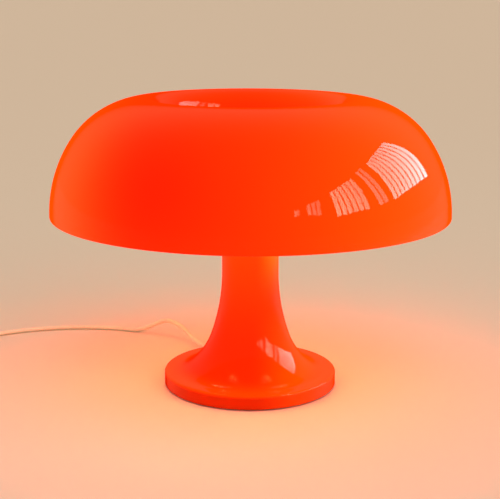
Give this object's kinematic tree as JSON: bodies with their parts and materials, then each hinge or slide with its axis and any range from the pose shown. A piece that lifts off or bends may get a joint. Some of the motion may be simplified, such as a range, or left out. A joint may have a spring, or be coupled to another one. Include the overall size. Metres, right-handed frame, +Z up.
{
  "type": "mushroom table lamp",
  "caption": "Glossy translucent orange table lamp: a domed shade with a sunk centre over round bulbs, on a trumpet foot with a cord, switch and plug.",
  "frame": {"origin": "middle of the foot's lower face, on the table", "axes": "+Z up along the stem, -Y towards the viewer of the picture, +X to the viewer's right"},
  "size_m": [0.505, 0.32, 0.2359],
  "materials": {
    "orange_plastic": "polished, translucent",
    "pad_rubber": "matt",
    "black_plastic": "matt",
    "steel": "zinc plated",
    "cast_iron": "rough",
    "white_plastic": "satin",
    "brass": "bright",
    "bulb_metal": "bright",
    "bulb_glass": "opal",
    "cord_sheath": "satin",
    "switch_plastic": "satin",
    "plug_metal": "nickel plated",
    "live_insulation": "satin",
    "neutral_insulation": "satin"
  },
  "bodies": {
    "base": {"ballast_weight": "cast_iron", "base_pad": "pad_rubber", "bottom_cover": "black_plastic", "clamp_screws": "steel", "cord_clamp": "white_plastic", "cord_coil": "cord_sheath", "cord_end": "cord_sheath", "cord_lead": "cord_sheath", "cord_tail": "cord_sheath", "cover_screws": "steel", "foot_stem": "orange_plastic", "holder_contact_1": "brass", "holder_contact_2": "brass", "holder_contact_3": "brass", "holder_contact_4": "brass", "holder_ring_nuts": "white_plastic", "holder_sleeve_1": "brass", "holder_sleeve_2": "brass", "holder_sleeve_3": "brass", "holder_sleeve_4": "brass", "hub_lid": "white_plastic", "inner_lead": "cord_sheath", "lampholder_1": "white_plastic", "lampholder_2": "white_plastic", "lampholder_3": "white_plastic", "lampholder_4": "white_plastic", "lampholder_hub": "white_plastic", "live_wire": "live_insulation", "neutral_wire": "neutral_insulation", "plug_body": "switch_plastic", "plug_pins": "plug_metal", "rocker_pin": "steel", "rod_bottom_nut": "steel", "rod_bottom_washer": "steel", "rod_top_nut": "steel", "rod_top_washer": "steel", "strain_relief": "cord_sheath", "switch_lower_housing": "switch_plastic", "switch_screws": "steel", "switch_terminals": "brass", "switch_upper_housing": "switch_plastic", "terminal_block": "white_plastic", "terminal_screws": "steel", "tie_rod": "steel"},
    "shade": {"shade": "orange_plastic"},
    "knob": {"centre_knob": "orange_plastic", "knob_insert": "brass"},
    "rocker": {"switch_rocker": "switch_plastic"},
    "bulb_1": {"bulb_cap_1": "bulb_metal", "bulb_globe_1": "bulb_glass"},
    "bulb_2": {"bulb_cap_2": "bulb_metal", "bulb_globe_2": "bulb_glass"},
    "bulb_3": {"bulb_cap_3": "bulb_metal", "bulb_globe_3": "bulb_glass"},
    "bulb_4": {"bulb_cap_4": "bulb_metal", "bulb_globe_4": "bulb_glass"}
  },
  "joints": [
    {"name": "shade_lift", "type": "slide", "parent": "base", "child": "shade", "axis": [0, 0, 1], "range_m": [0, 0.08]},
    {"name": "knob_lift", "type": "slide", "parent": "shade", "child": "knob", "axis": [0, 0, 1], "range_m": [0, 0.03]},
    {"name": "rocker_tilt", "type": "hinge", "parent": "base", "child": "rocker", "pos_m": [-0.262, 0.043, 0.012], "axis": [1, 0, 0], "range_deg": [0, 16]},
    {"name": "bulb_1_withdraw", "type": "slide", "parent": "base", "child": "bulb_1", "axis": [0.7071, 0.7071, 0], "range_m": [0, 0.02]},
    {"name": "bulb_2_withdraw", "type": "slide", "parent": "base", "child": "bulb_2", "axis": [-0.7071, 0.7071, 0], "range_m": [0, 0.02]},
    {"name": "bulb_3_withdraw", "type": "slide", "parent": "base", "child": "bulb_3", "axis": [-0.7071, -0.7071, 0], "range_m": [0, 0.02]},
    {"name": "bulb_4_withdraw", "type": "slide", "parent": "base", "child": "bulb_4", "axis": [0.7071, -0.7071, 0], "range_m": [0, 0.02]}
  ]
}
